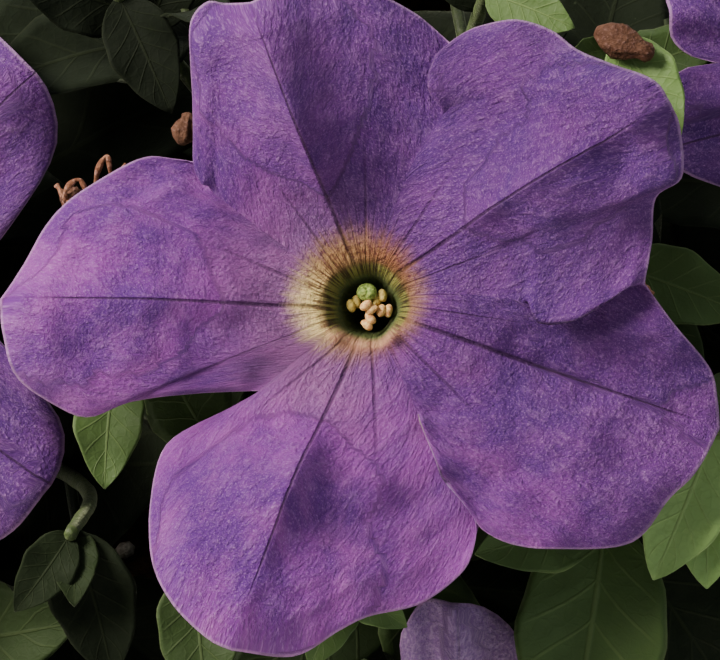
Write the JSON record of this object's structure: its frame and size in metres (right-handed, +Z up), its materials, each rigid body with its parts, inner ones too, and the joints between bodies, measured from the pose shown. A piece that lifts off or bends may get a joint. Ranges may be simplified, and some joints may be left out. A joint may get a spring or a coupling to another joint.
{
  "type": "petunia hanging basket",
  "caption": "Round plastic basket of mounding petunias, with mauve, dark-veined funnel blooms over leafy green shoots, hung by wires from an open hook.",
  "frame": {"origin": "where the inner top of the hook's bow bears on the bracket that holds the basket up", "axes": "+Z up, along the pot's axis; -Y towards the side from which the main bloom is seen; +X to the right as seen from there"},
  "size_m": [0.3261, 0.3322, 0.4525],
  "materials": {
    "petals": "matte, with a soft sheen, dark purple veins and a cream throat",
    "stamens": "matte, pollen dusted",
    "foliage": "matte, finely hairy",
    "pot": "satin moulded",
    "soil": "loose, fibrous",
    "wire": "satin coated",
    "hook": "satin coated"
  },
  "bodies": {
    "root": {"bloom_01": "petals", "bloom_02": "petals", "bloom_03": "petals", "bloom_04": "petals", "bloom_05": "petals", "bloom_06": "petals", "bloom_07": "petals", "bloom_08": "petals", "bloom_09": "petals", "bloom_10": "petals", "bloom_11": "petals", "bloom_12": "petals", "bloom_13": "petals", "bloom_14": "petals", "bloom_15": "petals", "bloom_16": "petals", "bloom_17": "petals", "bloom_18": "petals", "hook": "hook", "pot": "pot", "soil": "soil", "stamens_01": "stamens", "stamens_02": "stamens", "stamens_03": "stamens", "stamens_04": "stamens", "stamens_05": "stamens", "stamens_06": "stamens", "stamens_07": "stamens", "stamens_08": "stamens", "stamens_09": "stamens", "stamens_10": "stamens", "stamens_11": "stamens", "stamens_12": "stamens", "stamens_13": "stamens", "stamens_14": "stamens", "stamens_15": "stamens", "stamens_16": "stamens", "stamens_17": "stamens", "stamens_18": "stamens", "stem_01": "foliage", "stem_02": "foliage", "stem_03": "foliage", "stem_04": "foliage", "stem_05": "foliage", "stem_06": "foliage", "stem_07": "foliage", "stem_08": "foliage", "stem_09": "foliage", "stem_10": "foliage", "stem_11": "foliage", "stem_12": "foliage", "stem_13": "foliage", "stem_14": "foliage", "stem_15": "foliage", "stem_16": "foliage", "stem_17": "foliage", "stem_18": "foliage", "wire_01": "wire", "wire_02": "wire", "wire_03": "wire"}
  },
  "joints": []
}
